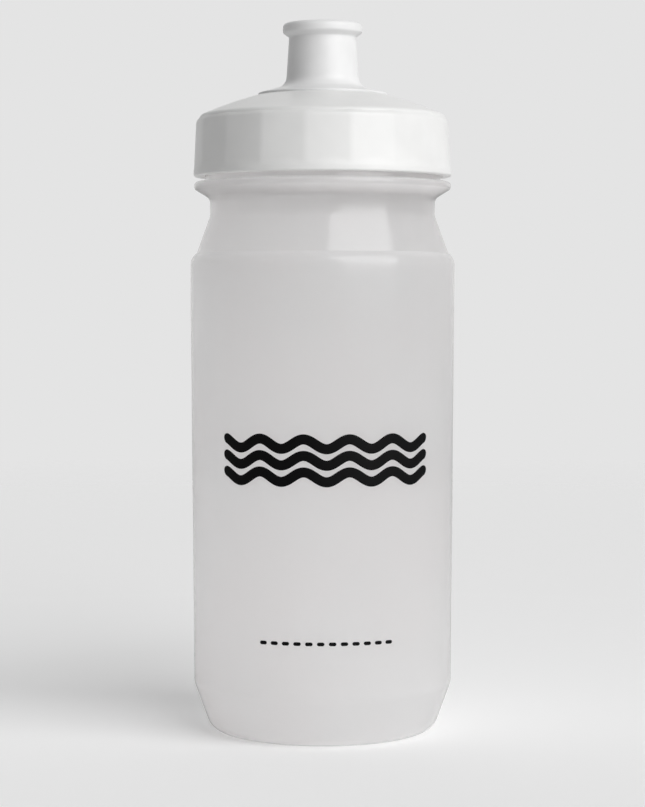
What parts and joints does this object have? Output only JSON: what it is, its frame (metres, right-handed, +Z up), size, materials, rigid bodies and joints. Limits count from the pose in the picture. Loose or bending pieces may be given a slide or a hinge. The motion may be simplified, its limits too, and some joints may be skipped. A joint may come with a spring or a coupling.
{
  "type": "sports water bottle",
  "caption": "Squeeze sports bottle with a waisted round body, a many-sided screw cap and a pull-up drinking spout with a plug valve and soft slit membrane.",
  "frame": {"origin": "middle of the ring that the bottle stands on", "axes": "+Z up along the bottle's axis, towards the spout; -Y is the side that carries the printed mark; +X is to the right of someone facing that side"},
  "size_m": [0.0738, 0.0738, 0.1974],
  "materials": {
    "bottle_wall": "frosted natural polyethylene, thin and translucent",
    "cap_plastic": "satin white moulded plastic",
    "spout_plastic": "satin white moulded plastic, slightly soft",
    "soft_seal": "milky silicone",
    "dark_seal": "black rubber"
  },
  "bodies": {
    "bottle_body": {"bottle": "bottle_wall"},
    "rising_seal": {"cap_gasket": "soft_seal"},
    "cap_body": {"screw_cap": "cap_plastic", "valve_stem": "cap_plastic", "stem_oring": "dark_seal"},
    "spout_body": {"pull_spout": "spout_plastic", "slit_membrane": "soft_seal", "membrane_retainer": "cap_plastic"}
  },
  "joints": [
    {"name": "cap_rise", "type": "slide", "parent": "bottle_body", "child": "rising_seal", "axis": [0, 0, 1], "range_m": [0, 0.0211]},
    {"name": "cap_turn", "type": "hinge", "parent": "rising_seal", "child": "cap_body", "pos_m": [0, 0, 0.1548], "axis": [0, 0, 1], "range_deg": [0, 1800]},
    {"name": "spout_pull", "type": "slide", "parent": "cap_body", "child": "spout_body", "axis": [0, 0, 1], "range_m": [0, 0.006]}
  ],
  "couplings": [
    {"joint": "cap_rise", "follows": "cap_turn", "m_per_rad": 0.00066845}
  ]
}
